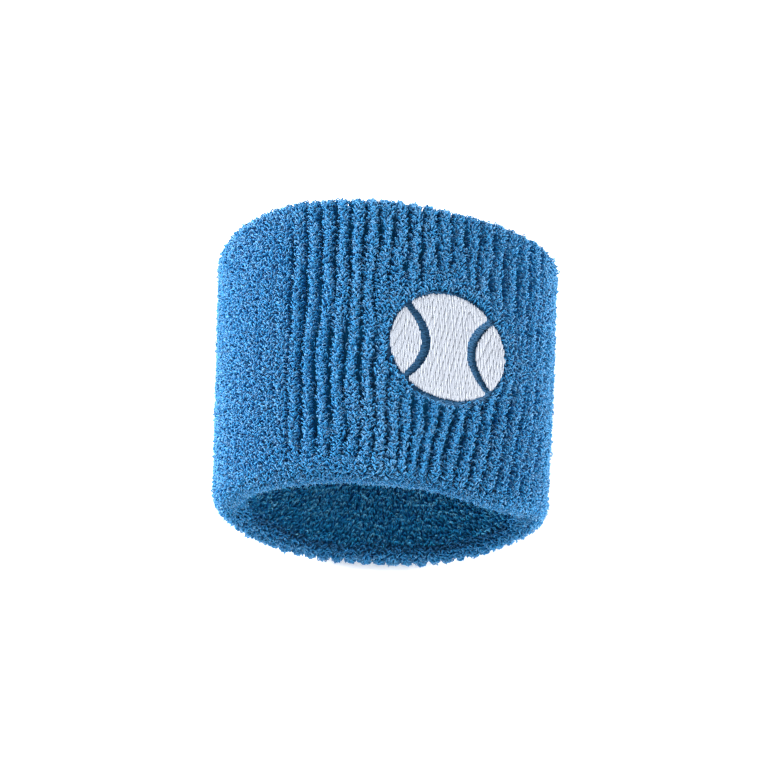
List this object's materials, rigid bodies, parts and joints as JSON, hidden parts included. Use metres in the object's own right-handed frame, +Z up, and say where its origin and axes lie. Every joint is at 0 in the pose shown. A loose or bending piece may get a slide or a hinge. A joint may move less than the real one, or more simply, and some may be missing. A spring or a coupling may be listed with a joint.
{
  "type": "sweat wristband",
  "caption": "Terry-cloth sweat wristband: soft oval sleeve of doubled looped pile knit with lengthwise ribs, rolled rims and a plain embroidered ball emblem, lying on its back.",
  "frame": {"origin": "middle of the band's footprint on the surface that it lies on, at the bottom of its box", "axes": "+Z up, away from the surface and towards the embroidered face; the band's own axis runs along Y with the near mouth facing -Y; +X across the oval, to the right when seen from the near mouth"},
  "size_m": [0.0818, 0.0778, 0.0508],
  "materials": {
    "blue_terry_outer": "looped cotton-blend terry pile, matt with a soft sheen, ribbed along the band",
    "blue_terry_inner": "looped terry pile without ribs, matt, the skin side",
    "elastic_yarn": "fine covered elastic yarn, matt",
    "blue_sewing_thread": "linking thread dyed to match",
    "backing_felt": "thin non-woven embroidery backing",
    "bobbin_thread": "fine white bobbin thread",
    "blue_embroidery_thread": "flat dark blue fill stitches, slightly glossy",
    "white_embroidery_thread": "white rayon satin stitch with a silky sheen along the threads"
  },
  "bodies": {
    "root": {"outer_terry_layer": "blue_terry_outer", "inner_terry_layer": "blue_terry_inner", "elastic_yarn_outer": "elastic_yarn", "elastic_yarn_inner": "elastic_yarn", "closing_seam_thread": "blue_sewing_thread", "embroidery_backing": "backing_felt", "embroidery_bobbin_thread": "bobbin_thread", "emblem_ground_stitching": "blue_embroidery_thread", "emblem_ball_centre": "white_embroidery_thread", "emblem_ball_left": "white_embroidery_thread", "emblem_ball_right": "white_embroidery_thread"}
  },
  "joints": []
}
